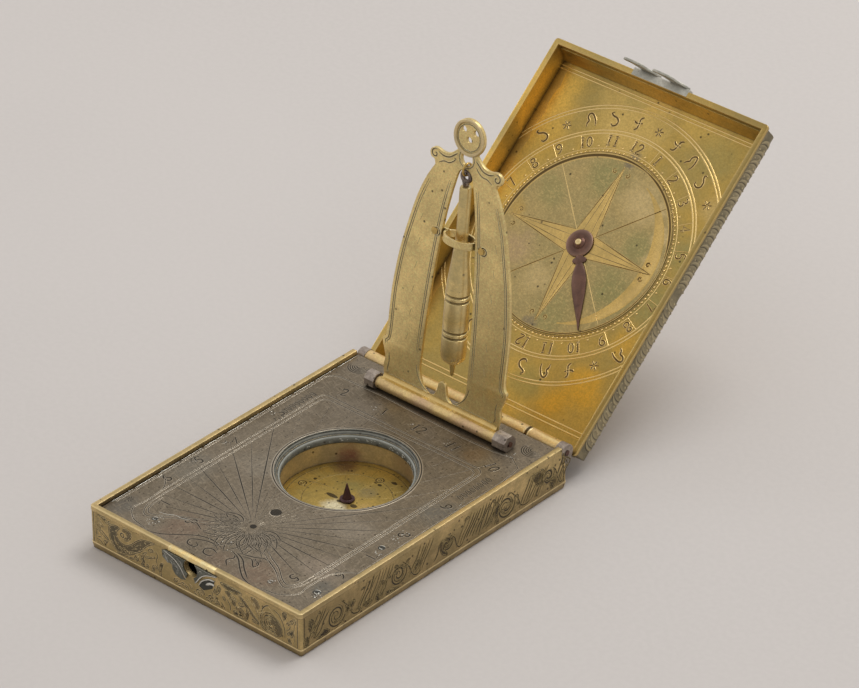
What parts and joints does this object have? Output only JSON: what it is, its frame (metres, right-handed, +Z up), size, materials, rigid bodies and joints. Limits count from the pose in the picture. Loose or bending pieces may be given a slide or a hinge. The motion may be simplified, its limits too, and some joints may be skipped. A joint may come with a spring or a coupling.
{
  "type": "diptych sundial",
  "caption": "Folding pocket sundial: shallow engraved case with hour plate and compass well, hinged lid with turning dial and pointer, and a folding plummet frame.",
  "frame": {"origin": "centre of the case's flat underside, where the open sundial stands", "axes": "+X to the right across the width, +Y from the front wall towards the lid hinge, +Z up"},
  "size_m": [0.0516, 0.1313, 0.0671],
  "materials": {
    "gilt": "worn fire-gilt brass with dark engraving",
    "pale_gilt": "pale satin gilt brass",
    "silver": "tarnished silver",
    "steel": "dark browned steel",
    "grey_metal": "corroded grey metal"
  },
  "bodies": {
    "case": {"case_floor": "gilt", "case_walls": "gilt", "plate_ledge_left": "gilt", "plate_ledge_right": "gilt", "hour_plate": "silver", "well_lip": "pale_gilt", "compass_bowl": "gilt", "glass_seat_ring": "grey_metal", "compass_card": "gilt", "needle_pivot": "steel", "frame_lug_left": "silver", "frame_lug_right": "silver", "frame_pin": "steel", "case_knuckle_left": "gilt", "case_knuckle_mid": "gilt", "case_knuckle_right": "gilt", "hinge_ear_left": "silver", "hinge_ear_right": "silver", "hinge_pin": "gilt", "catch_leaf_left": "silver", "catch_leaf_right": "silver"},
    "lid": {"lid_walls": "gilt", "lid_cover": "gilt", "dial_plate": "gilt", "lid_edge_strip": "gilt", "lid_knuckle_left": "gilt", "lid_knuckle_right": "gilt", "clasp_plate": "silver", "dial_arbor": "gilt"},
    "disc": {"dial_disc": "gilt"},
    "pointer": {"pointer": "steel"},
    "frame": {"frame_barrel": "pale_gilt", "plummet_frame": "pale_gilt", "keeper_loop": "pale_gilt", "keeper_rivet_left": "gilt", "keeper_rivet_right": "gilt"},
    "link": {"plummet_link": "gilt"},
    "plummet": {"plummet_eye": "steel", "plummet_bob": "gilt"}
  },
  "joints": [
    {"name": "lid_hinge", "type": "hinge", "parent": "case", "child": "lid", "pos_m": [0, 0.0362, 0.0071], "axis": [1, 0, 0], "range_deg": [0, 139.7]},
    {"name": "frame_fold", "type": "hinge", "parent": "case", "child": "frame", "pos_m": [0.0005, 0.0285, 0.0096], "axis": [1, 0, 0], "range_deg": [0, 98.5]},
    {"name": "plummet_swing", "type": "hinge", "parent": "frame", "child": "link", "pos_m": [0.0005, 0.03661, 0.05813], "axis": [-1, 0, 0], "range_deg": [0, 2.55]},
    {"name": "plummet_sway", "type": "hinge", "parent": "link", "child": "plummet", "pos_m": [0.0005, 0.03642, 0.05609], "axis": [0, 0.9954, -0.0958], "range_deg": [-3, 3]},
    {"name": "disc_spin", "type": "hinge", "parent": "lid", "child": "disc", "pos_m": [0, 0.06951, 0.02657], "axis": [0, 0.6468, -0.7627], "continuous": true},
    {"name": "pointer_spin", "type": "hinge", "parent": "lid", "child": "pointer", "pos_m": [0, 0.06951, 0.02657], "axis": [0, 0.6468, -0.7627], "continuous": true}
  ],
  "couplings": [
    {"joint": "frame_fold", "follows": "lid_hinge", "ratio": 0.70508},
    {"joint": "plummet_swing", "follows": "lid_hinge", "ratio": 0.018253}
  ]
}
